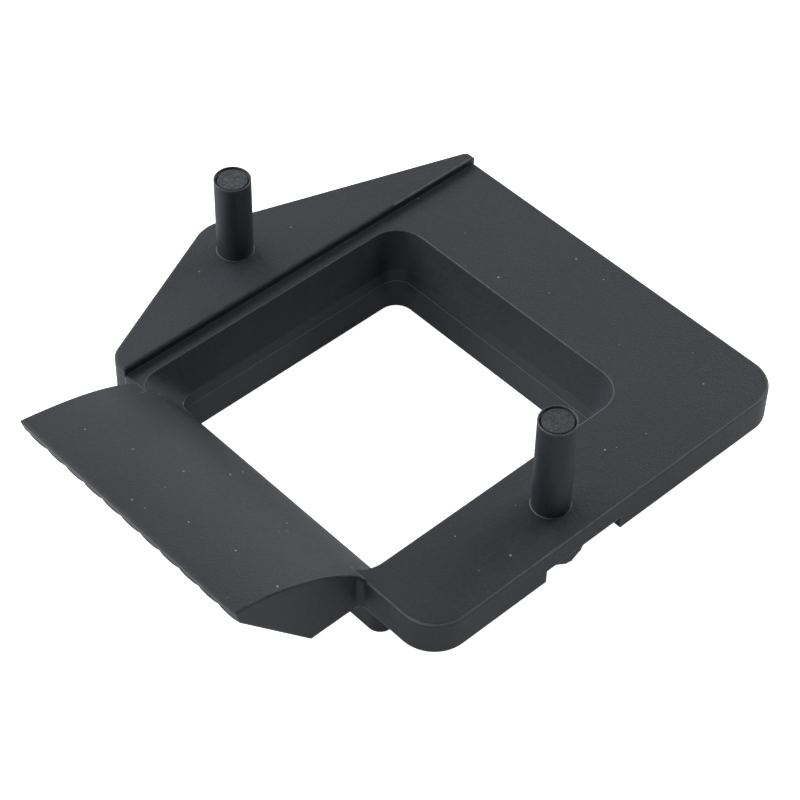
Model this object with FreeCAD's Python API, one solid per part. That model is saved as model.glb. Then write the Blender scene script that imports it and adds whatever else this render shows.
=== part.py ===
import FreeCAD
import Part
import math
import os

# CPU holder end frame: a flat open frame with an upturned, curved gripping lip on its left side,
# two upright locating pegs on its front-to-back centre line, a raised three-sided land at the back
# and a deep sleeve that hangs below the window.
# Working frame while building: X runs along the front edge from its left end, Y runs from the front
# edge to the back, and Z = 0 is the main top face. The finished pieces are then moved so that the
# origin lies under the middle of the whole part, on the plane that it stands on.

# ---- driving dimensions, in millimetres ----
PLATE_WIDTH = 100.0
PLATE_DEPTH = 92.6
PLATE_HEIGHT = 8.0
SKIN = 3.0
SKIRT_WALL = 2.5
FRONT_CORNER_R = 8.0
EDGE_ROUND = 0.6

LAND_RISE = 1.8
LAND_APEX = (40.3, 115.6)
LAND_LEFT_Y = 97.3
LAND_RIGHT_Y = 95.0
LAND_LEFT_R = 5.0
LAND_APEX_R = 9.0
LAND_TIP_R = 1.5

WINDOW_RIGHT = 74.2
WINDOW_FRONT = 20.2
WINDOW_BACK = 89.5
WINDOW_TOP_R = 7.2
MOUTH_INSET = 3.0
MOUTH_DEPTH = 8.8
SLEEVE_TOP = 12.4
SLEEVE_DEPTH = 20.0
SLEEVE_WALL = 3.0
SLEEVE_LEFT_X = 3.7
WALL_LEFT_R = 3.0
SEAM_STEP = 0.1

LIP_ARC_R = 55.1
LIP_ARC_X = -37.6
LIP_ARC_Z = -39.9
LIP_TIP_X = -31.2
LIP_TIP_FACE = 3.4
LIP_TIP_LEAN = 1.3
LIP_HEEL_X = -12.7
LIP_FAR_TIP_Y = 84.9
LIP_FAR_SWEEP_X = -28.0
LIP_CORNER_R = 5.0
LIP_EDGE_ROUND = 0.4
LIP_ROOT_X = 17.0
LIP_PART_X = -2.5
JUNCTION_R = 1.5
ROLLER_SEAM_TURN = 180.0
EDGE_SAMPLES = 7
ON_CURVE = 0.02

GRIP_PITCH = 5.75
GRIP_COUNT = 11
GRIP_HEIGHT = 0.3
GRIP_FIRST_Y = 23.4
GRIP_END_GAP = 1.2
GRIP_GAP = 0.2

PEG_R = 4.0
PEG_X = 40.5
PEG_SPACING = 96.0
FRONT_PEG_Y = 9.2
FRONT_PEG_LENGTH = 24.0
REAR_PEG_LENGTH = 20.0
PEG_SEAT = 5.0
PEG_SEAT_R = 3.0
PEG_CHAMFER = 0.35
PEG_RIM = 0.9
PEG_DISH = 0.25
BOSS_R = 6.2

NOTCH_X0 = 30.7
NOTCH_X1 = 51.6
NOTCH_HEIGHT = 3.2
STUB_X = 37.4
STUB_THICK = 1.6
STUB_INSET = 0.2
STUB_OUTLINE = ((-4.6, 0.0), (-1.0, -2.4), (0.6, -2.7), (2.9, -1.5), (3.8, 0.0))

RIB_WALL = 1.6
RIB_LIFT = 1.0
RIGHT_RIB_COUNT = 4
FRONT_RIB_X = (14.0, 27.0, 54.0, 68.0)
LAND_RIB_X = (14.0, 27.0, 54.0, 68.0)

MARGIN = 5.0


def vec(x, y, z=0.0):
    return FreeCAD.Vector(x, y, z)


def rounded_wire(corners, z):
    """Closed wire through (x, y, radius) corners, straight between them, at height z."""
    count = len(corners)
    starts = []
    ends = []
    middles = []
    for i in range(count):
        x, y, radius = corners[i]
        here = vec(x, y, z)
        to_last = vec(corners[i - 1][0], corners[i - 1][1], z) - here
        to_next = vec(corners[(i + 1) % count][0], corners[(i + 1) % count][1], z) - here
        to_last.normalize()
        to_next.normalize()
        half = to_last.getAngle(to_next) / 2
        reach = radius / math.tan(half)
        bisector = to_last + to_next
        bisector.normalize()
        centre = here + bisector * (radius / math.sin(half))
        starts.append(here + to_last * reach)
        ends.append(here + to_next * reach)
        middles.append(centre - bisector * radius)
    edges = []
    for i in range(count):
        if corners[i][2] > 0:
            edges.append(Part.Arc(starts[i], middles[i], ends[i]).toShape())
        edges.append(Part.LineSegment(ends[i], starts[(i + 1) % count]).toShape())
    return Part.Wire(edges)


def prism(corners, bottom, top):
    """Upright block with a rounded outline."""
    face = Part.Face(rounded_wire(corners, bottom))
    return face.extrude(vec(0, 0, top - bottom))


def box(x0, x1, y0, y1, z0, z1):
    return Part.makeBox(x1 - x0, y1 - y0, z1 - z0, vec(x0, y0, z0))


def land_edge_y(x):
    """Y of the raised land's sharp outline at x, left or right of its apex."""
    apex_x, apex_y = LAND_APEX
    if x < apex_x:
        return LAND_LEFT_Y + (apex_y - LAND_LEFT_Y) * x / apex_x
    return apex_y + (LAND_RIGHT_Y - apex_y) * (x - apex_x) / (PLATE_WIDTH - apex_x)


def outline(inset=0.0):
    """Corners of the whole frame seen from above, moved inwards by inset."""
    apex_x, apex_y = LAND_APEX
    left_slope = math.atan2(apex_y - LAND_LEFT_Y, apex_x)
    right_slope = math.atan2(apex_y - LAND_RIGHT_Y, PLATE_WIDTH - apex_x)
    left_y = land_edge_y(inset) - inset / math.cos(left_slope)
    right_y = land_edge_y(PLATE_WIDTH - inset) - inset / math.cos(right_slope)
    left_tan = math.tan(left_slope)
    right_tan = math.tan(right_slope)
    run = PLATE_WIDTH - 2 * inset
    top_x = inset + (right_y - left_y + right_tan * run) / (left_tan + right_tan)
    top_y = left_y + left_tan * (top_x - inset)
    return [
        (inset, inset, FRONT_CORNER_R - inset),
        (PLATE_WIDTH - inset, inset, FRONT_CORNER_R - inset),
        (PLATE_WIDTH - inset, right_y, max(LAND_TIP_R - inset, 0.5)),
        (top_x, top_y, LAND_APEX_R - inset),
        (inset, left_y, LAND_LEFT_R - inset),
    ]


def window(inset, left):
    """Corners of the window, smaller by inset on three sides, with its left side at left."""
    radius = WINDOW_TOP_R - inset
    return [
        (left, WINDOW_FRONT + inset, radius),
        (WINDOW_RIGHT - inset, WINDOW_FRONT + inset, radius),
        (WINDOW_RIGHT - inset, WINDOW_BACK - inset, radius),
        (left, WINDOW_BACK - inset, radius),
    ]


def lip_height(x):
    """Height of the lip's curved top at x."""
    return LIP_ARC_Z + math.sqrt(LIP_ARC_R ** 2 - (x - LIP_ARC_X) ** 2)


def lip_roller():
    """Cylinder whose upper right side is the lip's curved top and the window's left wall."""
    start = vec(LIP_ARC_X, -WINDOW_BACK / 2, LIP_ARC_Z)
    axis = vec(0, 1, 0)
    roller = Part.makeCylinder(LIP_ARC_R, 2 * WINDOW_BACK, start, axis)
    roller.rotate(start, axis, ROLLER_SEAM_TURN)
    return roller


def open_stage(top_inset, top, foot_inset, foot):
    """One height of the window's open space, above and beside the lip's curved top."""
    above = rounded_wire(window(top_inset, LIP_ARC_X), top)
    below = rounded_wire(window(foot_inset, LIP_ARC_X), foot)
    return Part.makeLoft([above, below], True, True).cut(lip_roller())


def on_lip_curve(edge):
    """True for an edge that lies on the lip's cylinder along its whole length."""
    axis = vec(LIP_ARC_X, 0, LIP_ARC_Z)
    low, high = edge.ParameterRange
    for i in range(EDGE_SAMPLES):
        point = edge.valueAt(low + (high - low) * i / (EDGE_SAMPLES - 1))
        if abs((vec(point.x, 0, point.z) - axis).Length - LIP_ARC_R) > ON_CURVE:
            return False
    return True


def runs_down_lip(edge):
    """True for an edge that goes down the lip's cylinder, and not along it."""
    return on_lip_curve(edge) and edge.BoundBox.YLength < WINDOW_TOP_R


def window_cutter():
    """The window's open space: a tapered mouth, rounded into the lip, over a sharp-cornered throat."""
    flare = -MOUTH_INSET / MOUTH_DEPTH * MARGIN
    mouth = open_stage(flare, MARGIN, MOUTH_INSET, -MOUTH_DEPTH)
    mouth = round_edges(mouth, LIP_CORNER_R, runs_down_lip)
    throat = open_stage(MOUTH_INSET, -MOUTH_DEPTH, MOUTH_INSET, -SLEEVE_TOP - 1)
    return mouth.fuse(throat)


def round_edges(shape, radius, wanted):
    """Round the edges for which wanted(edge) is true."""
    edges = [edge for edge in shape.Edges if wanted(edge)]
    return shape.makeFillet(radius, edges)


def flat_at(edge, z):
    """True if the whole edge lies at height z."""
    return abs(edge.BoundBox.ZMin - z) < 0.001 and abs(edge.BoundBox.ZMax - z) < 0.001


def on_outer_rim(edge):
    """True for a top edge of the frame that isn't the straight one against the raised land."""
    return flat_at(edge, 0) and edge.BoundBox.YMin < PLATE_DEPTH - 1


def on_lip_rim(edge):
    """True for a long edge around the lip's curved top."""
    return edge.BoundBox.XMin < LIP_FAR_SWEEP_X + 1 and on_lip_curve(edge)


def at_lip_junction(edge):
    """True for the upright inner corner between the lip's near end and the frame's left wall."""
    bounds = edge.BoundBox
    return abs(bounds.XMax) < 0.001 and bounds.XLength < 0.001 and bounds.YLength < 0.001 and \
        abs(bounds.YMin - WINDOW_FRONT) < 0.001


def window_wall(bottom, top):
    """Block that the window's walls are cut from."""
    front_left, front_right, back_right, back_left = window(-SLEEVE_WALL / 2, SLEEVE_LEFT_X)
    front_left = (*front_left[:2], WALL_LEFT_R)
    back_left = (*back_left[:2], WALL_LEFT_R)
    return prism([front_left, front_right, back_right, back_left], bottom, top)


def lip_block():
    """The lip before its window side is cut: sloping underside, blunt tip and curved top."""
    tip_z = lip_height(LIP_TIP_X)
    corners = [
        vec(LIP_ROOT_X, WINDOW_FRONT, -PLATE_HEIGHT),
        vec(LIP_HEEL_X, WINDOW_FRONT, -PLATE_HEIGHT),
        vec(LIP_TIP_X + LIP_TIP_LEAN, WINDOW_FRONT, tip_z - LIP_TIP_FACE),
        vec(LIP_TIP_X, WINDOW_FRONT, tip_z + 1),
        vec(LIP_ROOT_X, WINDOW_FRONT, tip_z + 1),
    ]
    face = Part.Face(Part.makePolygon(corners + corners[:1]))
    block = face.extrude(vec(0, WINDOW_BACK - WINDOW_FRONT, 0))
    return block.common(lip_roller()).cut(lip_far_trim())


def lip_far_trim():
    """Space beyond the lip's far end, which sweeps back to meet the window's back wall."""
    rise = WINDOW_BACK - LIP_FAR_TIP_Y
    run = -LIP_FAR_SWEEP_X
    radius = (run ** 2 + rise ** 2) / (2 * rise)
    bend_x = LIP_FAR_SWEEP_X + run / 2
    bend_y = LIP_FAR_TIP_Y + radius - math.sqrt(radius ** 2 - (run / 2) ** 2)
    low = -2 * PLATE_HEIGHT
    sweep = [vec(LIP_FAR_SWEEP_X, LIP_FAR_TIP_Y, low), vec(bend_x, bend_y, low), vec(0, WINDOW_BACK, low)]
    back_y = WINDOW_BACK + MARGIN
    corners = [
        sweep[2],
        vec(0, back_y, low),
        vec(LIP_TIP_X - MARGIN, back_y, low),
        vec(LIP_TIP_X - MARGIN, LIP_FAR_TIP_Y, low),
        sweep[0],
    ]
    edges = [Part.Arc(*sweep).toShape()]
    for start, end in zip(corners[:-1], corners[1:]):
        edges.append(Part.LineSegment(start, end).toShape())
    return Part.Face(Part.Wire(edges)).extrude(vec(0, 0, 2 * SLEEVE_DEPTH))


def moulded_frame():
    """Frame and lip together, before they are parted beside the window."""
    plate = prism(outline(), -PLATE_HEIGHT, 0)
    plate = plate.common(box(0, PLATE_WIDTH, 0, PLATE_DEPTH, -PLATE_HEIGHT, 0))
    plate = round_edges(plate, EDGE_ROUND, on_outer_rim)
    hollow = prism(outline(SKIRT_WALL), -PLATE_HEIGHT - MARGIN, -SKIN)
    notch = box(NOTCH_X0, NOTCH_X1, -MARGIN, SKIRT_WALL + 1, -PLATE_HEIGHT - MARGIN, NOTCH_HEIGHT - PLATE_HEIGHT)
    plate = plate.cut([hollow, notch])
    wall = window_wall(-SLEEVE_TOP, -SKIN / 2).common(box(0, PLATE_WIDTH, 0, PLATE_DEPTH, -SLEEVE_TOP, 0))
    moulding = plate.fuse([wall, lip_block()]).cut(window_cutter()).removeSplitter()
    moulding = round_edges(moulding, JUNCTION_R, at_lip_junction)
    return round_edges(moulding, LIP_EDGE_ROUND, on_lip_rim)


def lip_zone():
    """Space to the left of the frame, which holds the lip."""
    return box(LIP_TIP_X - MARGIN, LIP_PART_X, 0, PLATE_DEPTH, -SLEEVE_TOP, SLEEVE_DEPTH)


def frame_plate(moulding):
    """Main frame: textured top skin, outer skirt with its front notch, and the window's four walls."""
    return moulding.cut(lip_zone())


def curved_lip(moulding):
    """Upturned gripping lip, from its blunt tip to where it joins the frame."""
    return moulding.common(lip_zone())


def corner_land():
    """Raised three-sided land behind the frame, with its own skirt."""
    land = prism(outline(), -PLATE_HEIGHT, LAND_RISE)
    land = land.common(box(0, PLATE_WIDTH, PLATE_DEPTH, LAND_APEX[1] + 1, -PLATE_HEIGHT, LAND_RISE))
    land = round_edges(land, EDGE_ROUND, lambda edge: flat_at(edge, LAND_RISE))
    return land.cut(prism(outline(SKIRT_WALL), -PLATE_HEIGHT - MARGIN, LAND_RISE - SKIN))


def lip_grip():
    """Row of shallow scallops on the lip's sloping underside, each a separate bar."""
    top = vec(LIP_TIP_X + LIP_TIP_LEAN, 0, lip_height(LIP_TIP_X) - LIP_TIP_FACE)
    heel = vec(LIP_HEEL_X, 0, -PLATE_HEIGHT)
    along = (heel - top).normalize()
    outward = vec(along.z, 0, -along.x)
    first = top + along * GRIP_GAP
    last = heel - along * GRIP_END_GAP
    bars = []
    for i in range(GRIP_COUNT):
        y = GRIP_FIRST_Y + i * GRIP_PITCH
        half = GRIP_PITCH / 2 - GRIP_GAP
        left = first + vec(0, y - half, 0)
        right = first + vec(0, y + half, 0)
        crest = first + vec(0, y, 0) + outward * GRIP_HEIGHT
        arc = Part.Arc(left, crest, right).toShape()
        chord = Part.LineSegment(right, left).toShape()
        bars.append(Part.Face(Part.Wire([arc, chord])).extrude(last - first))
    return Part.makeCompound(bars)


def window_sleeve():
    """Smooth sleeve that carries the window down below the seam, closed on all four sides."""
    inset = MOUTH_INSET - SEAM_STEP
    return window_wall(-SLEEVE_DEPTH, -SLEEVE_TOP).cut(open_stage(inset, -SLEEVE_TOP + 1, inset, -SLEEVE_DEPTH - 1))


def peg(y, foot, length):
    """Upright locating peg with a chamfered, shallow dished end and a thinner spigot in its boss."""
    body = Part.makeCylinder(PEG_R, length, vec(PEG_X, y, foot))
    top = foot + length
    body = body.makeChamfer(PEG_CHAMFER, [edge for edge in body.Edges if flat_at(edge, top)])
    dish = Part.makeCylinder(PEG_R - PEG_RIM, 1.0, vec(PEG_X, y, top - PEG_DISH))
    spigot = Part.makeCylinder(PEG_SEAT_R, PEG_SEAT, vec(PEG_X, y, foot - PEG_SEAT))
    return body.cut(dish).fuse(spigot)


def boss(y, top):
    """Thick collar under the skin that a peg is seated in."""
    foot = RIB_LIFT - PLATE_HEIGHT
    return Part.makeCylinder(BOSS_R, top - foot, vec(PEG_X, y, foot))


def rib_along_y(x, y0, y1):
    return box(x - RIB_WALL / 2, x + RIB_WALL / 2, y0, y1, RIB_LIFT - PLATE_HEIGHT, -SKIN)


def inner_ribs():
    """Stiffening ribs inside the hollow underside, each a separate bar between two walls."""
    wall_front = WINDOW_FRONT - SLEEVE_WALL / 2
    wall_right = WINDOW_RIGHT + SLEEVE_WALL / 2
    wall_back = WINDOW_BACK + SLEEVE_WALL / 2
    ribs = [rib_along_y(x, SKIRT_WALL, wall_front) for x in FRONT_RIB_X]
    ribs += [rib_along_y(x, wall_back, LAND_APEX[1]) for x in LAND_RIB_X]
    step = (WINDOW_BACK - WINDOW_FRONT) / (RIGHT_RIB_COUNT + 1)
    for i in range(RIGHT_RIB_COUNT):
        y = WINDOW_FRONT + (i + 1) * step
        ribs.append(box(wall_right, PLATE_WIDTH, y - RIB_WALL / 2, y + RIB_WALL / 2,
                        RIB_LIFT - PLATE_HEIGHT, -SKIN))
    inside = prism(outline(SKIRT_WALL), -PLATE_HEIGHT, -SKIN)
    return Part.makeCompound([rib.common(inside) for rib in ribs])


def gate_stub():
    """Broken-off stub of the moulding feed, hanging in the front notch."""
    top = NOTCH_HEIGHT - PLATE_HEIGHT
    points = [vec(STUB_X + x, STUB_INSET, top + z) for x, z in STUB_OUTLINE]
    return Part.Face(Part.makePolygon(points + points[:1])).extrude(vec(0, STUB_THICK, 0))


def make_parts():
    rear_y = FRONT_PEG_Y + PEG_SPACING
    front_peg = peg(FRONT_PEG_Y, 0, FRONT_PEG_LENGTH)
    rear_peg = peg(rear_y, LAND_RISE, REAR_PEG_LENGTH)
    moulding = moulded_frame()
    return {
        "frame_plate": frame_plate(moulding).cut(front_peg),
        "corner_land": corner_land().cut(rear_peg),
        "curved_lip": curved_lip(moulding),
        "lip_grip": lip_grip(),
        "window_sleeve": window_sleeve(),
        "front_peg": front_peg,
        "rear_peg": rear_peg,
        "front_boss": boss(FRONT_PEG_Y, -SKIN).cut(front_peg),
        "rear_boss": boss(rear_y, LAND_RISE - SKIN).cut(rear_peg),
        "inner_ribs": inner_ribs(),
        "gate_stub": gate_stub(),
    }


def main():
    os.makedirs("parts", exist_ok=True)
    parts = make_parts()
    whole = Part.makeCompound(list(parts.values())).optimalBoundingBox()
    shift = vec(-(whole.XMin + whole.XMax) / 2, -(whole.YMin + whole.YMax) / 2, -whole.ZMin)
    for name, shape in parts.items():
        shape.translate(shift)
        print(name, "solids", len(shape.Solids), "valid", shape.isValid(), "volume", round(shape.Volume, 1))
        shape.exportStep("parts/" + name + ".step")
    print("moved by", shift, "size", whole.XLength, whole.YLength, whole.ZLength)


main()
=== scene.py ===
import math

import bmesh
import bpy
from bpy.props import FloatProperty, FloatVectorProperty, IntProperty, PointerProperty
from mathutils import Matrix, Vector, noise


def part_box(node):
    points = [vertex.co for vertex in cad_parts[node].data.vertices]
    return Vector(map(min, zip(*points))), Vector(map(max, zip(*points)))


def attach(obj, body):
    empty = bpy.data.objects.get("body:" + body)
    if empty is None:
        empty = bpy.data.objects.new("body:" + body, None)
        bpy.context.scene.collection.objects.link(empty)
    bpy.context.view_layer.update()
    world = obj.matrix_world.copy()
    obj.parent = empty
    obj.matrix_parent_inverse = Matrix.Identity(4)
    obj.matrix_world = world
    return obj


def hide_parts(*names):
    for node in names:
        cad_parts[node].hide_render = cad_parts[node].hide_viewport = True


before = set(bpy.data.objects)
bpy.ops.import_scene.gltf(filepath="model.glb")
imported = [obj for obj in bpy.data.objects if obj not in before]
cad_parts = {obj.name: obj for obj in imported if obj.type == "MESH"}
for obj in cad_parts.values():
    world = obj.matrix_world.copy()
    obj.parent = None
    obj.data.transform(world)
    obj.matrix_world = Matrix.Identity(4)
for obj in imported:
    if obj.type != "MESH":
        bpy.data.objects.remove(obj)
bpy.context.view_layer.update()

bl_info = {
    "name": "Case Holder End Frame",
    "version": (1, 0, 0),
    "blender": (4, 5, 0),
    "location": "3D View > Sidebar > Holder",
    "description": "Finishes, small pieces and studio of a moulded end frame for a computer case holder",
    "category": "Object",
}

MM = 0.001
BODY = "root"


# ---- sizes, finishes and studio settings ----

class HolderSizes(bpy.types.PropertyGroup):
    """Sizes of the small pieces that are built around the frame."""

    grip_count: IntProperty(
        name="Scallops", description="Number of scallops on the lip's sloping underside", default=11, min=1)
    grip_height: FloatProperty(
        name="Scallop height", description="How far a scallop stands out of the lip",
        default=0.3 * MM, unit="LENGTH", subtype="DISTANCE")
    grip_gap: FloatProperty(
        name="Scallop gap", description="Flat groove between two scallops",
        default=0.25 * MM, unit="LENGTH", subtype="DISTANCE")
    peg_rim: FloatProperty(
        name="Peg rim", description="Width of the raised rim around a peg's end",
        default=0.22 * MM, unit="LENGTH", subtype="DISTANCE")
    peg_dish: FloatProperty(
        name="Peg dish", description="Depth of the dished face inside the rim",
        default=0.2 * MM, unit="LENGTH", subtype="DISTANCE")
    peg_edge: FloatProperty(
        name="Peg edge", description="Rounding of a peg's outer end edge",
        default=0.1 * MM, unit="LENGTH", subtype="DISTANCE")
    peg_foot: FloatProperty(
        name="Peg foot", description="Fillet where a peg stands on the frame",
        default=0.2 * MM, unit="LENGTH", subtype="DISTANCE")
    stub_roughness: FloatProperty(
        name="Stub roughness", description="How far the broken feed stub's surface is torn",
        default=0.12 * MM, unit="LENGTH", subtype="DISTANCE")


class HolderFinish(bpy.types.PropertyGroup):
    """Colours and surface detail of the moulded plastic."""

    plastic: FloatVectorProperty(
        name="Plastic", description="Near-black base colour with a cool tint",
        default=(0.0175, 0.0215, 0.0280), size=3, min=0, max=1, subtype="COLOR")
    # Colour of rubbed edges and scuffs, and also of the painted highlight along sharp edges and the top rim.
    worn_and_highlight: FloatVectorProperty(
        name="Worn and highlight plastic", description="Colour of rubbed edges and scuffs",
        default=(0.190, 0.196, 0.202), size=3, min=0, max=1, subtype="COLOR")
    dust: FloatVectorProperty(
        name="Dust", description="Colour of the settled dust specks",
        default=(0.42, 0.44, 0.46), size=3, min=0, max=1, subtype="COLOR")
    cut_end: FloatVectorProperty(
        name="Cut end", description="Lighter tone of a peg's mottled end",
        default=(0.050, 0.060, 0.070), size=3, min=0, max=1, subtype="COLOR")
    edge_radius: FloatProperty(
        name="Edge rounding", description="Softening of the moulding's sharp edges",
        default=0.55 * MM, unit="LENGTH", subtype="DISTANCE")
    grain_depth: FloatProperty(
        name="Grain depth", description="Depth of the spark-eroded grain",
        default=0.1 * MM, unit="LENGTH", subtype="DISTANCE")


class HolderStudio(bpy.types.PropertyGroup):
    """Camera, floor and light."""

    azimuth: FloatProperty(
        name="Azimuth", description="Camera's turn around the object",
        default=math.radians(-43.72), subtype="ANGLE")
    elevation: FloatProperty(
        name="Elevation", description="Camera's height above the horizon",
        default=math.radians(46.43), subtype="ANGLE")
    roll: FloatProperty(
        name="Roll", description="Camera's turn about its own axis",
        default=math.radians(1.3), subtype="ANGLE")
    distance: FloatProperty(
        name="Distance", description="From the camera to the point it looks at",
        default=508.6 * MM, unit="LENGTH", subtype="DISTANCE")
    aim: FloatVectorProperty(
        name="Aim", description="Point that the camera looks at",
        default=(2.89 * MM, -7.81 * MM, 20.0 * MM), size=3, unit="LENGTH", subtype="TRANSLATION")
    lens: FloatProperty(
        name="Lens", description="Focal length on a 36 mm sensor", default=111.9, unit="CAMERA")
    floor: FloatVectorProperty(
        name="Floor", description="Pale floor colour",
        default=(0.86, 0.87, 0.88), size=3, min=0, max=1, subtype="COLOR")


# ---- node helpers ----

def fill(tree, made, inputs):
    """Link or set a node's inputs, which are named or counted."""
    for key, value in inputs.items():
        if isinstance(value, bpy.types.NodeSocket):
            tree.links.new(value, made.inputs[key])
        else:
            made.inputs[key].default_value = value


def add(tree, kind, inputs=None, **settings):
    """Add a node with its settings and inputs."""
    made = tree.nodes.new(kind)
    for key, value in settings.items():
        setattr(made, key, value)
    fill(tree, made, inputs or {})
    return made


def calc(tree, operation, first, second=0.0, clamp=False):
    """Output of a Math node."""
    made = add(tree, "ShaderNodeMath", {0: first, 1: second}, operation=operation, use_clamp=clamp)
    return made.outputs[0]


def ramp(tree, value, low, high, out_low=0.0, out_high=1.0):
    """Smooth step of a value from low to high."""
    made = add(tree, "ShaderNodeMapRange",
               {"Value": value, "From Min": low, "From Max": high, "To Min": out_low, "To Max": out_high},
               interpolation_type="SMOOTHSTEP")
    return made.outputs["Result"]


def noise_at(tree, vector, scale, detail=2.0, roughness=0.5):
    """Factor of a Noise Texture."""
    made = add(tree, "ShaderNodeTexNoise",
               {"Vector": vector, "Scale": scale, "Detail": detail, "Roughness": roughness})
    return made.outputs["Fac"]


def blend_colour(tree, factor, first, second):
    """Mix of two colours."""
    made = tree.nodes.new("ShaderNodeMix")
    made.data_type = "RGBA"
    fill(tree, made, {0: factor, 6: first, 7: second})
    return made.outputs[2]


def shader_group(name, inputs, outputs):
    """Empty shader group with named sockets, and its two end nodes."""
    tree = bpy.data.node_groups.new(name, "ShaderNodeTree")
    for label, kind, default in inputs:
        socket = tree.interface.new_socket(label, in_out="INPUT", socket_type=kind)
        if default is not None:
            socket.default_value = default
    for label, kind in outputs:
        tree.interface.new_socket(label, in_out="OUTPUT", socket_type=kind)
    return tree, tree.nodes.new("NodeGroupInput").outputs, tree.nodes.new("NodeGroupOutput")


FLOAT = "NodeSocketFloat"
VECTOR = "NodeSocketVector"
COLOUR = "NodeSocketColor"


def grain_group():
    """Spark-eroded mould grain: fine noise with shallow pits, fading with Amount."""
    tree, given, out = shader_group(
        "Mould Grain",
        [("Vector", VECTOR, None), ("Fine", FLOAT, 2800.0), ("Coarse", FLOAT, 1500.0), ("Amount", FLOAT, 1.0)],
        [("Height", FLOAT), ("Pits", FLOAT)])
    fine = noise_at(tree, given["Vector"], given["Fine"], 4.0, 0.6)
    coarse = noise_at(tree, given["Vector"], given["Coarse"], 2.0, 0.5)
    cells = add(tree, "ShaderNodeTexVoronoi", {"Vector": given["Vector"], "Scale": given["Fine"]})
    pits = ramp(tree, cells.outputs["Distance"], 0.1, 0.6)
    rough = calc(tree, "ADD", calc(tree, "MULTIPLY", fine, 0.6), calc(tree, "MULTIPLY", coarse, 0.5))
    height = calc(tree, "ADD", rough, calc(tree, "MULTIPLY", pits, 0.25))
    fill(tree, out, {"Height": calc(tree, "MULTIPLY", height, given["Amount"]), "Pits": pits})
    return tree


def tone_group():
    """Slow and fine variation of the plastic's tone."""
    tree, given, out = shader_group(
        "Tone Drift",
        [("Vector", VECTOR, None), ("Colour", COLOUR, (0.0, 0.0, 0.0, 1.0)), ("Spread", FLOAT, 0.5)],
        [("Colour", COLOUR), ("Patch", FLOAT)])
    slow = noise_at(tree, given["Vector"], 34.0, 3.0, 0.55)
    fine = noise_at(tree, given["Vector"], 700.0, 2.0, 0.6)
    patch = calc(tree, "ADD", calc(tree, "MULTIPLY", slow, 0.55), calc(tree, "MULTIPLY", fine, 0.45))
    centred = calc(tree, "SUBTRACT", patch, 0.5)
    gain = calc(tree, "ADD", calc(tree, "MULTIPLY", centred, calc(tree, "MULTIPLY", given["Spread"], 4.0)), 1.0)
    scaled = add(tree, "ShaderNodeVectorMath", {0: given["Colour"]}, operation="SCALE")
    tree.links.new(gain, scaled.inputs["Scale"])
    fill(tree, out, {"Colour": scaled.outputs["Vector"], "Patch": patch})
    return tree


def dust_group():
    """Sparse settled specks of mixed size, only on faces that look upwards."""
    tree, given, out = shader_group(
        "Dust Specks",
        [("Vector", VECTOR, None), ("Cells", FLOAT, 420.0), ("Share", FLOAT, 0.3), ("Size", FLOAT, 0.085)],
        [("Mask", FLOAT)])
    cells = add(tree, "ShaderNodeTexVoronoi", {"Vector": given["Vector"], "Scale": given["Cells"]})
    pick = add(tree, "ShaderNodeSeparateColor", {"Color": cells.outputs["Color"]})
    chosen = calc(tree, "LESS_THAN", pick.outputs["Red"], given["Share"])
    size = calc(tree, "MULTIPLY", given["Size"], calc(tree, "ADD", pick.outputs["Green"], 0.35))
    speck = calc(tree, "LESS_THAN", cells.outputs["Distance"], size)
    normal = add(tree, "ShaderNodeSeparateXYZ", {0: tree.nodes.new("ShaderNodeNewGeometry").outputs["Normal"]})
    upward = ramp(tree, normal.outputs["Z"], 0.3, 0.6)
    strength = ramp(tree, pick.outputs["Blue"], 0.0, 1.0, 0.25, 1.0)
    mask = calc(tree, "MULTIPLY", calc(tree, "MULTIPLY", speck, chosen), upward)
    fill(tree, out, {"Mask": calc(tree, "MULTIPLY", mask, strength)})
    return tree


def edge_group():
    """Softened normal of sharp edges and a broken mask of their wear and painted highlight, both off beside the
    Seam plane in X.
    """
    tree, given, out = shader_group(
        "Edge Wear And Highlight",
        [("Vector", VECTOR, None), ("Radius", FLOAT, 0.0004), ("Break Up", FLOAT, 500.0), ("Seam", FLOAT, 1.0)],
        [("Normal", VECTOR), ("Mask", FLOAT)])
    soft = add(tree, "ShaderNodeBevel", {"Radius": given["Radius"]}, samples=6)
    geometry = tree.nodes.new("ShaderNodeNewGeometry")
    facing = add(tree, "ShaderNodeVectorMath", {0: soft.outputs["Normal"], 1: geometry.outputs["Normal"]},
                 operation="DOT_PRODUCT")
    # Edge mask: real wear on sharp edges together with a painted highlight where a rounded edge would catch the
    # light.
    edge = calc(tree, "SUBTRACT", 1.0, ramp(tree, facing.outputs["Value"], 0.88, 0.998))
    broken = ramp(tree, noise_at(tree, given["Vector"], given["Break Up"], 3.0), 0.15, 0.5, 0.35, 1.0)
    place = add(tree, "ShaderNodeSeparateXYZ", {0: given["Vector"]})
    away = calc(tree, "ABSOLUTE", calc(tree, "SUBTRACT", place.outputs["X"], given["Seam"]))
    clear = ramp(tree, away, 0.0006, 0.0009)
    normal = add(tree, "ShaderNodeMix", data_type="VECTOR")
    fill(tree, normal, {0: clear, 4: geometry.outputs["Normal"], 5: soft.outputs["Normal"]})
    worn_and_highlight = calc(tree, "MULTIPLY", calc(tree, "MULTIPLY", edge, broken), clear)
    fill(tree, out, {"Normal": normal.outputs[1], "Mask": worn_and_highlight})
    return tree


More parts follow.
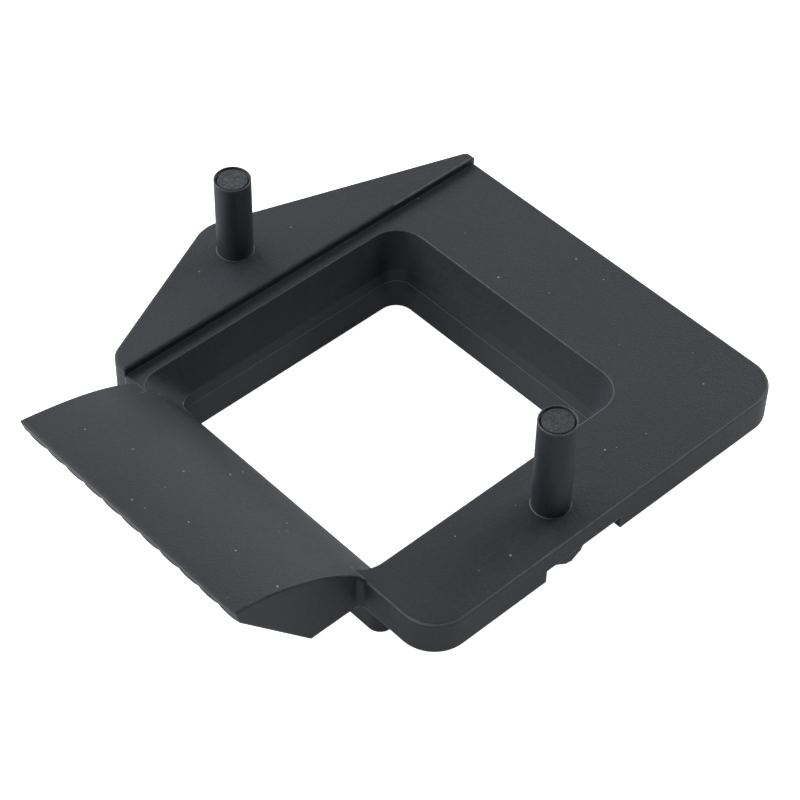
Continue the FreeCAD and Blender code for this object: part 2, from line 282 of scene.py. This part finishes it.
def painted_rim_highlight_group():
    """Painted highlight, broken up, along the rounded top rim: just under Top, and in front of Front or right of
    Right.
    """
    tree, given, out = shader_group(
        "Painted Rim Highlight",
        [("Vector", VECTOR, None), ("Top", FLOAT, 0.02), ("Front", FLOAT, 0.0), ("Right", FLOAT, 0.0)],
        [("Mask", FLOAT)])
    place = add(tree, "ShaderNodeSeparateXYZ", {0: given["Vector"]}).outputs
    normal = add(tree, "ShaderNodeSeparateXYZ", {0: tree.nodes.new("ShaderNodeNewGeometry").outputs["Normal"]})
    tilted = calc(tree, "MULTIPLY", ramp(tree, normal.outputs["Z"], 0.3, 0.55),
                  ramp(tree, normal.outputs["Z"], 0.99, 0.93, 0.0, 1.0))
    near_top = calc(tree, "GREATER_THAN", place["Z"], calc(tree, "SUBTRACT", given["Top"], 0.0008))
    front = calc(tree, "LESS_THAN", place["Y"], given["Front"])
    right = calc(tree, "GREATER_THAN", place["X"], given["Right"])
    # Only the front and right sides get the painted highlight, where the light falls on the rim.
    side = calc(tree, "MAXIMUM", front, right)
    broken = ramp(tree, noise_at(tree, given["Vector"], 400.0, 3.0), 0.2, 0.55, 0.45, 1.0)
    mask = calc(tree, "MULTIPLY", calc(tree, "MULTIPLY", tilted, near_top), calc(tree, "MULTIPLY", side, broken))
    fill(tree, out, {"Mask": mask})
    return tree


def scuff_group():
    """Faint rubbed streaks that lie mostly along one direction."""
    tree, given, out = shader_group(
        "Scuffs",
        [("Vector", VECTOR, None), ("Stretch", VECTOR, (1.0, 1.0, 1.0)), ("Share", FLOAT, 0.7)],
        [("Mask", FLOAT)])
    along = add(tree, "ShaderNodeVectorMath", {0: given["Vector"], 1: given["Stretch"]}, operation="MULTIPLY")
    streak = noise_at(tree, along.outputs["Vector"], 420.0, 5.0, 0.65)
    where = ramp(tree, noise_at(tree, given["Vector"], 45.0, 2.0), 0.45, 0.7)
    lines = ramp(tree, streak, given["Share"], 0.85)
    fill(tree, out, {"Mask": calc(tree, "MULTIPLY", lines, where)})
    return tree


def textured_group():
    """How far a face carries grain: full where it looks upwards, none on upright and lower faces."""
    tree, given, out = shader_group(
        "Textured Faces", [("Smooth Share", FLOAT, 0.15)], [("Amount", FLOAT)])
    geometry = tree.nodes.new("ShaderNodeNewGeometry")
    normal = add(tree, "ShaderNodeSeparateXYZ", {0: geometry.outputs["Normal"]})
    upward = ramp(tree, normal.outputs["Z"], 0.12, 0.26)
    keep = calc(tree, "SUBTRACT", 1.0, given["Smooth Share"])
    fill(tree, out, {"Amount": calc(tree, "ADD", calc(tree, "MULTIPLY", upward, keep), given["Smooth Share"])})
    return tree


GROUP_MAKERS = {
    "Mould Grain": grain_group,
    "Tone Drift": tone_group,
    "Dust Specks": dust_group,
    "Edge Wear And Highlight": edge_group,
    "Painted Rim Highlight": painted_rim_highlight_group,
    "Scuffs": scuff_group,
    "Textured Faces": textured_group,
}


def use_group(tree, name, inputs):
    """Place a shared group in a material, building it the first time."""
    group = bpy.data.node_groups.get(name) or GROUP_MAKERS[name]()
    made = tree.nodes.new("ShaderNodeGroup")
    made.node_tree = group
    fill(tree, made, inputs)
    return made.outputs


# ---- materials ----

def opaque(colour):
    return (*colour, 1.0)


LAND_RISE = 1.8 * MM


def lip_seam():
    """Height in X of the plane where the lip's node meets the frame's node."""
    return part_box("curved_lip")[1].x


def moulded_plastic(name, finish, grain, roughness, specks, scuffs, stretch=(1.0, 1.0, 1.0)):
    """Dark moulded plastic: grain on textured faces, tone drift, edge wear with painted edge and rim highlights,
    scuffs and dust.
    """
    material = bpy.data.materials.new(name)
    material.use_nodes = True
    tree = material.node_tree
    shader = tree.nodes["Principled BSDF"]
    place = tree.nodes.new("ShaderNodeTexCoord").outputs["Object"]
    textured = use_group(tree, "Textured Faces", {})["Amount"]
    relief = use_group(tree, "Mould Grain", {"Vector": place, "Amount": textured})
    tone = use_group(tree, "Tone Drift", {"Vector": place, "Colour": opaque(finish.plastic)})
    edge = use_group(tree, "Edge Wear And Highlight", {"Vector": place, "Radius": finish.edge_radius, "Seam": lip_seam()})
    rubbed = use_group(tree, "Scuffs", {"Vector": place, "Stretch": stretch})["Mask"]
    dust = use_group(tree, "Dust Specks", {"Vector": place, "Share": specks})["Mask"]
    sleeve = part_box("window_sleeve")
    rim = use_group(tree, "Painted Rim Highlight", {"Vector": place, "Top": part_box("corner_land")[1].z - LAND_RISE,
                                          "Front": sleeve[0].y, "Right": sleeve[1].x})["Mask"]
    # Painted highlight: the edge and rim masks lighten the colour towards the worn colour, and scuffs add real wear
    # on top.
    worn_and_highlit_edge = calc(tree, "ADD", calc(tree, "MULTIPLY", edge["Mask"], 0.85), calc(tree, "MULTIPLY", rim, 0.6))
    wear_and_highlight = calc(tree, "ADD", worn_and_highlit_edge,
                calc(tree, "MULTIPLY", rubbed, scuffs * 0.4), clamp=True)
    colour = blend_colour(tree, wear_and_highlight, tone["Colour"], opaque(finish.worn_and_highlight))
    colour = blend_colour(tree, dust, colour, opaque(finish.dust))
    pitted = calc(tree, "MULTIPLY", calc(tree, "SUBTRACT", relief["Pits"], 0.5), 0.10)
    patchy = calc(tree, "MULTIPLY", calc(tree, "SUBTRACT", tone["Patch"], 0.5), 0.5)
    base = calc(tree, "ADD", calc(tree, "MULTIPLY", textured, 0.10), roughness)
    dull = calc(tree, "ADD", calc(tree, "ADD", base, pitted), patchy, clamp=True)
    bump = add(tree, "ShaderNodeBump",
               {"Height": relief["Height"], "Normal": edge["Normal"], "Distance": finish.grain_depth * grain})
    fill(tree, shader, {"Base Color": colour, "Roughness": dull, "Normal": bump.outputs["Normal"]})
    return material


def cut_end_plastic(name, finish):
    """Mottled end of a peg, paler than its side, with the side's own finish below the rim."""
    material = bpy.data.materials.new(name)
    material.use_nodes = True
    tree = material.node_tree
    shader = tree.nodes["Principled BSDF"]
    place = tree.nodes.new("ShaderNodeTexCoord").outputs["Object"]
    tone = use_group(tree, "Tone Drift", {"Vector": place, "Colour": opaque(finish.plastic)})
    relief = use_group(tree, "Mould Grain", {"Vector": place, "Fine": 1900.0, "Coarse": 1100.0})
    mottle = ramp(tree, noise_at(tree, place, 1500.0, 4.0, 0.7), 0.4, 0.62)
    colour = blend_colour(tree, mottle, tone["Colour"], opaque(finish.cut_end))
    dull = calc(tree, "ADD", calc(tree, "MULTIPLY", mottle, -0.15), 0.6)
    bump = add(tree, "ShaderNodeBump", {"Height": relief["Height"], "Distance": finish.grain_depth * 1.5})
    fill(tree, shader, {"Base Color": colour, "Roughness": dull, "Normal": bump.outputs["Normal"]})
    return material


def material_named(name, maker, *settings):
    """The material of that name, made the first time it is asked for."""
    return bpy.data.materials.get(name) or maker(name, *settings)


def grained(finish):
    return material_named("Grained plastic", moulded_plastic, finish, 1.0, 0.46, 0.22, 0.25)


def lip_grained(finish):
    return material_named(
        "Rubbed lip plastic", moulded_plastic, finish, 1.0, 0.44, 0.4, 0.6, (1.0, 0.25, 1.0))


def smooth(finish):
    return material_named("Smooth plastic", moulded_plastic, finish, 0.45, 0.42, 0.1, 0.15)


def peg_side(finish):
    return material_named("Peg plastic", moulded_plastic, finish, 0.6, 0.5, 0.1, 0.2, (1.0, 1.0, 0.2))


def grip_plastic(finish):
    return material_named("Grip plastic", moulded_plastic, finish, 0.6, 0.42, 0.1, 0.4)


# ---- mesh helpers ----

def shaded(mesh, sharp=math.radians(32)):
    """Smooth shading with sharp edges kept."""
    mesh.polygons.foreach_set("use_smooth", [True] * len(mesh.polygons))
    mesh.set_sharp_from_angle(angle=sharp)
    mesh.update()


def piece(name, mesh, materials, slot, *nodes):
    """A finished piece that rides on the frame and stands for CAD nodes."""
    made = bpy.data.objects.new(name, mesh)
    bpy.context.scene.collection.objects.link(made)
    for material in materials:
        mesh.materials.append(material)
    shaded(mesh)
    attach(made, BODY)
    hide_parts(*nodes)
    return made


def dress(node, material):
    """Give a CAD node that keeps its own mesh a finished material."""
    mesh_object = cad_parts[node]
    if not mesh_object.material_slots:
        mesh_object.data.materials.append(material)
    for slot in mesh_object.material_slots:
        slot.material = material


def lathe(profile, centre, segments):
    """Closed turned mesh. The profile runs from the axis at the foot to the axis at the top."""
    shape = bmesh.new()
    rings = []
    for radius, height in profile:
        if radius == 0.0:
            rings.append([shape.verts.new((centre.x, centre.y, height))])
            continue
        ring = []
        for i in range(segments):
            turn = 2 * math.pi * i / segments
            spot = (centre.x + radius * math.cos(turn), centre.y + radius * math.sin(turn), height)
            ring.append(shape.verts.new(spot))
        rings.append(ring)
    for low, high in zip(rings[:-1], rings[1:]):
        for i in range(segments):
            j = (i + 1) % segments
            if len(low) == 1:
                shape.faces.new((low[0], high[j], high[i]))
            elif len(high) == 1:
                shape.faces.new((low[i], low[j], high[0]))
            else:
                shape.faces.new((low[i], low[j], high[j], high[i]))
    bmesh.ops.recalc_face_normals(shape, faces=shape.faces)
    return shape


def quarter(centre_radius, centre_height, radius, start, steps=5):
    """Quarter circle of a profile, from the start angle, turning anticlockwise."""
    points = []
    for i in range(steps + 1):
        turn = start + math.pi / 2 * i / steps
        points.append((centre_radius + radius * math.cos(turn), centre_height + radius * math.sin(turn)))
    return points


# ---- pieces ----

PEG_SEGMENTS = 64
DISH_RINGS = 9
DISH_TEXTURE = 0.05 * MM
GROOVE_DEPTH = 0.45 * MM
GROOVE_WIDTH = 0.5 * MM
DISC_INSET = 0.75 * MM
PEG_SEAT = 5.0 * MM
SPIGOT_RADIUS = 3.0 * MM


def peg_profile(radius, foot, top, sizes):
    """Side of a peg from its spigot up over the rim and across the dish."""
    fillet = sizes.peg_foot
    edge = sizes.peg_edge
    flare = [(x, z) for x, z in reversed(quarter(radius + fillet, foot + fillet, fillet, math.pi))]
    profile = [(0.0, foot - PEG_SEAT), (SPIGOT_RADIUS, foot - PEG_SEAT), (SPIGOT_RADIUS, foot - edge)]
    profile.append((radius + fillet, foot - edge))
    profile += flare
    profile += quarter(radius - edge, top - edge, edge, 0.0)
    inner = radius - sizes.peg_rim
    profile.append((inner, top))
    profile.append((inner - edge / 2, top - edge / 2))
    profile.append((inner - edge, top - sizes.peg_dish - GROOVE_DEPTH))
    profile.append((inner - GROOVE_WIDTH, top - sizes.peg_dish - GROOVE_DEPTH))
    disc = inner - GROOVE_WIDTH - edge
    for i in range(DISH_RINGS):
        profile.append((disc * (1 - i / DISH_RINGS), top - sizes.peg_dish))
    profile.append((0.0, top - sizes.peg_dish))
    return profile


def build_peg(name, node, sizes, finish):
    """Turned peg with a rounded rim and an uneven, mottled end."""
    low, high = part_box(node)
    centre = Vector(((low.x + high.x) / 2, (low.y + high.y) / 2, 0.0))
    radius = (high.x - low.x) / 2
    profile = peg_profile(radius, low.z + PEG_SEAT, high.z, sizes)
    shape = lathe(profile, centre, PEG_SEGMENTS)
    dish_floor = high.z - sizes.peg_dish
    for vertex in shape.verts:
        if abs(vertex.co.z - dish_floor) < sizes.peg_dish / 10:
            vertex.co.z += DISH_TEXTURE * noise.noise(vertex.co * 900.0)
    for face in shape.faces:
        reach = (face.calc_center_median() - centre).xy.length
        in_dish = face.calc_center_median().z > dish_floor - DISH_TEXTURE and reach < radius - DISC_INSET
        face.material_index = 1 if in_dish else 0
    mesh = bpy.data.meshes.new(name)
    shape.to_mesh(mesh)
    shape.free()
    materials = [peg_side(finish), material_named("Cut peg end", cut_end_plastic, finish)]
    return piece(name, mesh, materials, "peg_plastic", node)


def build_boss(name, node, sizes, finish):
    """Turned boss under the skin, with rounded lower edges."""
    low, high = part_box(node)
    centre = Vector(((low.x + high.x) / 2, (low.y + high.y) / 2, 0.0))
    radius = (high.x - low.x) / 2
    edge = sizes.peg_edge
    profile = [(0.0, low.z)] + quarter(radius - edge, low.z + edge, edge, -math.pi / 2)
    profile += [(radius, high.z), (0.0, high.z)]
    shape = lathe(profile, centre, PEG_SEGMENTS)
    mesh = bpy.data.meshes.new(name)
    shape.to_mesh(mesh)
    shape.free()
    return piece(name, mesh, [smooth(finish)], "smooth_plastic", node)


def scallop_tree(material):
    """Geometry Nodes tree: a row of flattened rods along Y, each tilted to the lip's underside."""
    tree = bpy.data.node_groups.new("Grip Scallops", "GeometryNodeTree")
    tree.interface.new_socket("Geometry", in_out="OUTPUT", socket_type="NodeSocketGeometry")
    for label, kind in (("Count", "NodeSocketInt"), ("Pitch", FLOAT), ("Half Width", FLOAT), ("Height", FLOAT),
                        ("Length", FLOAT), ("Tilt", FLOAT), ("Start", VECTOR)):
        tree.interface.new_socket(label, in_out="INPUT", socket_type=kind)
    given = tree.nodes.new("NodeGroupInput").outputs
    step = add(tree, "ShaderNodeCombineXYZ", {"Y": given["Pitch"]})
    row = add(tree, "GeometryNodeMeshLine",
              {"Count": given["Count"], "Start Location": given["Start"], "Offset": step.outputs[0]}, mode="OFFSET")
    rod = add(tree, "GeometryNodeMeshCylinder",
              {"Vertices": 40, "Radius": given["Half Width"], "Depth": given["Length"]})
    squash = calc(tree, "DIVIDE", given["Height"], given["Half Width"])
    scale = add(tree, "ShaderNodeCombineXYZ", {"X": squash, "Y": 1.0, "Z": 1.0})
    flat = add(tree, "GeometryNodeTransform", {"Geometry": rod.outputs["Mesh"], "Scale": scale.outputs[0]})
    turn = add(tree, "ShaderNodeCombineXYZ", {"Y": given["Tilt"]})
    copies = add(tree, "GeometryNodeInstanceOnPoints",
                 {"Points": row.outputs["Mesh"], "Instance": flat.outputs["Geometry"], "Rotation": turn.outputs[0]})
    real = add(tree, "GeometryNodeRealizeInstances", {"Geometry": copies.outputs["Instances"]})
    coated = add(tree, "GeometryNodeSetMaterial", {"Geometry": real.outputs["Geometry"], "Material": material})
    out = tree.nodes.new("NodeGroupOutput")
    tree.links.new(coated.outputs["Geometry"], out.inputs["Geometry"])
    return tree


def mesh_from_tree(name, tree, values):
    """Plain mesh that a Geometry Nodes tree makes with these values."""
    maker = bpy.data.objects.new(name + "_maker", bpy.data.meshes.new(name + "_maker"))
    bpy.context.scene.collection.objects.link(maker)
    modifier = maker.modifiers.new("Nodes", "NODES")
    modifier.node_group = tree
    for socket in tree.interface.items_tree:
        if socket.in_out == "INPUT":
            modifier[socket.identifier] = values[socket.name]
    bpy.context.view_layer.update()
    graph = bpy.context.evaluated_depsgraph_get()
    mesh = bpy.data.meshes.new_from_object(maker.evaluated_get(graph), depsgraph=graph)
    maker.modifiers.remove(modifier)
    bpy.data.objects.remove(maker)
    mesh.name = name
    return mesh


def build_scallops(sizes, finish):
    """Row of scallops on the sloping underside of the lip."""
    low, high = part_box("lip_grip")
    slope = Vector((high.x - low.x, 0.0, low.z - high.z)).normalized()
    outward = Vector((slope.z, 0.0, -slope.x))
    top = Vector((low.x, 0.0, high.z)) - Vector((outward.x, 0.0, 0.0)) * sizes.grip_height
    foot = Vector((high.x, 0.0, low.z)) - Vector((0.0, 0.0, outward.z)) * sizes.grip_height
    middle = (top + foot) / 2
    pitch = (high.y - low.y + sizes.grip_gap) / sizes.grip_count
    along = (foot - top).normalized()
    values = {
        "Count": sizes.grip_count,
        "Pitch": pitch,
        "Half Width": (pitch - sizes.grip_gap) / 2,
        "Height": sizes.grip_height,
        "Length": (foot - top).length,
        "Tilt": math.atan2(along.x, along.z),
        "Start": (middle.x, low.y + (pitch - sizes.grip_gap) / 2, middle.z),
    }
    material = grip_plastic(finish)
    mesh = mesh_from_tree("lip_scallops", scallop_tree(material), values)
    mesh.materials.clear()
    return piece("lip_scallops", mesh, [material], "grip_plastic", "lip_grip")


STUB_CUTS = 5


def build_stub(sizes, finish):
    """Broken feed stub: the CAD solid's outline, cut finely and torn along its free edge."""
    shape = bmesh.new()
    shape.from_mesh(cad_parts["gate_stub"].data)
    bmesh.ops.remove_doubles(shape, verts=shape.verts, dist=MM / 100)
    bmesh.ops.subdivide_edges(shape, edges=shape.edges, cuts=STUB_CUTS, use_grid_fill=True)
    bmesh.ops.triangulate(shape, faces=shape.faces)
    top = max(vertex.co.z for vertex in shape.verts)
    for vertex in shape.verts:
        depth = min((top - vertex.co.z) / MM, 1.0)
        vertex.co += noise.noise_vector(vertex.co * 1400.0) * sizes.stub_roughness * depth
    bmesh.ops.recalc_face_normals(shape, faces=shape.faces)
    mesh = bpy.data.meshes.new("feed_stub")
    shape.to_mesh(mesh)
    shape.free()
    mesh.materials.clear()
    return piece("feed_stub", mesh, [smooth(finish)], "smooth_plastic", "gate_stub")


# ---- studio ----

FLOOR_GLOW = 0.22
BACKDROP_GLOW = 1.2
ROOM_GLOW = 0.02


def softbox(name, spot, aim, width, height, power):
    """Large soft area light that faces a point."""
    light = bpy.data.lights.new(name, "AREA")
    light.shape = "RECTANGLE"
    light.size = width
    light.size_y = height
    light.energy = power
    made = bpy.data.objects.new(name, light)
    bpy.context.scene.collection.objects.link(made)
    made.location = spot
    made.rotation_euler = (aim - spot).to_track_quat("-Z", "Y").to_euler()
    return made


def build_camera(studio):
    azimuth = studio.azimuth
    elevation = studio.elevation
    level = math.cos(elevation)
    back = Vector((math.sin(azimuth) * level, -math.cos(azimuth) * level, math.sin(elevation)))
    right = Vector((math.cos(azimuth), math.sin(azimuth), 0.0))
    up = back.cross(right)
    tilt_right = right * math.cos(studio.roll) + up * math.sin(studio.roll)
    tilt_up = up * math.cos(studio.roll) - right * math.sin(studio.roll)
    turn = Matrix((tilt_right, tilt_up, back)).transposed()
    data = bpy.data.cameras.new("Camera")
    data.lens = studio.lens
    data.clip_start = MM
    camera = bpy.data.objects.new("Camera", data)
    bpy.context.scene.collection.objects.link(camera)
    camera.matrix_world = Matrix.Translation(Vector(studio.aim) + back * studio.distance) @ turn.to_4x4()
    bpy.context.scene.camera = camera


def floor_material(studio):
    """Pale matt floor that glows a little, as a lit sweep does."""
    material = bpy.data.materials.new("Pale floor")
    material.use_nodes = True
    tree = material.node_tree
    shader = tree.nodes["Principled BSDF"]
    place = tree.nodes.new("ShaderNodeTexCoord").outputs["Object"]
    colour = blend_colour(tree, noise_at(tree, place, 3.0), opaque(studio.floor), (0.90, 0.90, 0.90, 1.0))
    seen = tree.nodes.new("ShaderNodeLightPath").outputs["Is Camera Ray"]
    glow = add(tree, "ShaderNodeMapRange", {"Value": seen, "To Min": FLOOR_GLOW, "To Max": BACKDROP_GLOW})
    fill(tree, shader, {"Base Color": colour, "Roughness": 0.9, "Emission Color": colour,
                        "Emission Strength": glow.outputs["Result"]})
    return material


def build_floor(studio):
    size = 4.0
    mesh = bpy.data.meshes.new("Floor")
    corners = [(-size, -size, 0.0), (size, -size, 0.0), (size, size, 0.0), (-size, size, 0.0)]
    mesh.from_pydata(corners, [], [(0, 1, 2, 3)])
    mesh.materials.append(floor_material(studio))
    floor = bpy.data.objects.new("Floor", mesh)
    bpy.context.scene.collection.objects.link(floor)


def build_world():
    world = bpy.data.worlds.new("Soft room")
    world.use_nodes = True
    world.node_tree.nodes["Background"].inputs["Color"].default_value = (0.97, 0.98, 1.0, 1.0)
    world.node_tree.nodes["Background"].inputs["Strength"].default_value = ROOM_GLOW
    bpy.context.scene.world = world


# ---- operators ----

class HOLDER_OT_frame(bpy.types.Operator):
    """Finish the frame, the raised land and the window's sleeve"""

    bl_idname = "holder.frame"
    bl_label = "Finish Frame"

    def execute(self, context):
        finish = context.scene.holder_finish
        dress("frame_plate", grained(finish))
        dress("corner_land", grained(finish))
        dress("window_sleeve", smooth(finish))
        return {"FINISHED"}


class HOLDER_OT_lip(bpy.types.Operator):
    """Finish the curved lip and build the scallops under it"""

    bl_idname = "holder.lip"
    bl_label = "Build Lip"

    def execute(self, context):
        finish = context.scene.holder_finish
        dress("curved_lip", lip_grained(finish))
        build_scallops(context.scene.holder_sizes, finish)
        return {"FINISHED"}


class HOLDER_OT_pegs(bpy.types.Operator):
    """Turn the two pegs and the bosses that hold them"""

    bl_idname = "holder.pegs"
    bl_label = "Build Pegs"

    def execute(self, context):
        sizes = context.scene.holder_sizes
        finish = context.scene.holder_finish
        for end in ("front", "rear"):
            build_peg(end + "_turned_peg", end + "_peg", sizes, finish)
            build_boss(end + "_peg_boss", end + "_boss", sizes, finish)
        return {"FINISHED"}


class HOLDER_OT_underside(bpy.types.Operator):
    """Finish the stiffening ribs and tear the feed stub"""

    bl_idname = "holder.underside"
    bl_label = "Build Underside"

    def execute(self, context):
        finish = context.scene.holder_finish
        dress("inner_ribs", smooth(finish))
        build_stub(context.scene.holder_sizes, finish)
        return {"FINISHED"}


class HOLDER_OT_studio(bpy.types.Operator):
    """Set up the camera, the pale floor and the soft light"""

    bl_idname = "holder.studio"
    bl_label = "Set Up Studio"

    def execute(self, context):
        studio = context.scene.holder_studio
        build_camera(studio)
        build_floor(studio)
        build_world()
        aim = Vector((0.0, 0.0, 0.01))
        softbox("Back light", Vector((0.0, 0.8, 0.45)), aim, 0.6, 0.4, 4.4)
        softbox("Back left light", Vector((-0.55, 0.6, 0.45)), aim, 0.5, 0.4, 4.0)
        softbox("Back right light", Vector((0.55, 0.6, 0.5)), aim, 0.5, 0.4, 0.9)
        softbox("Right light", Vector((0.8, -0.1, 0.45)), aim, 0.5, 0.4, 4.2)
        softbox("Low right light", Vector((0.8, 0.35, 0.16)), aim, 0.5, 0.3, 1.1)
        softbox("Front fill", Vector((0.55, -0.7, 0.4)), aim, 0.5, 0.4, 0.6)
        softbox("Left fill", Vector((-0.8, 0.1, 0.4)), aim, 0.5, 0.4, 1.6)
        context.scene.view_settings.view_transform = "Standard"
        return {"FINISHED"}


class HOLDER_PT_panel(bpy.types.Panel):
    """Settings and builders of the holder"""

    bl_label = "Case Holder"
    bl_idname = "HOLDER_PT_panel"
    bl_space_type = "VIEW_3D"
    bl_region_type = "UI"
    bl_category = "Holder"

    def draw(self, context):
        for group in (context.scene.holder_sizes, context.scene.holder_finish, context.scene.holder_studio):
            box = self.layout.box()
            for name in group.__annotations__:
                box.prop(group, name)
        for operator in BUILDERS:
            self.layout.operator(operator.bl_idname)


BUILDERS = (HOLDER_OT_frame, HOLDER_OT_lip, HOLDER_OT_pegs, HOLDER_OT_underside, HOLDER_OT_studio)
CLASSES = (HolderSizes, HolderFinish, HolderStudio, *BUILDERS, HOLDER_PT_panel)


def register():
    for entry in CLASSES:
        bpy.utils.register_class(entry)
    bpy.types.Scene.holder_sizes = PointerProperty(type=HolderSizes)
    bpy.types.Scene.holder_finish = PointerProperty(type=HolderFinish)
    bpy.types.Scene.holder_studio = PointerProperty(type=HolderStudio)


def unregister():
    del bpy.types.Scene.holder_studio
    del bpy.types.Scene.holder_finish
    del bpy.types.Scene.holder_sizes
    for entry in reversed(CLASSES):
        bpy.utils.unregister_class(entry)


def main():
    register()
    bpy.ops.holder.frame()
    bpy.ops.holder.lip()
    bpy.ops.holder.pegs()
    bpy.ops.holder.underside()
    bpy.ops.holder.studio()


if __name__ == "__main__":
    main()
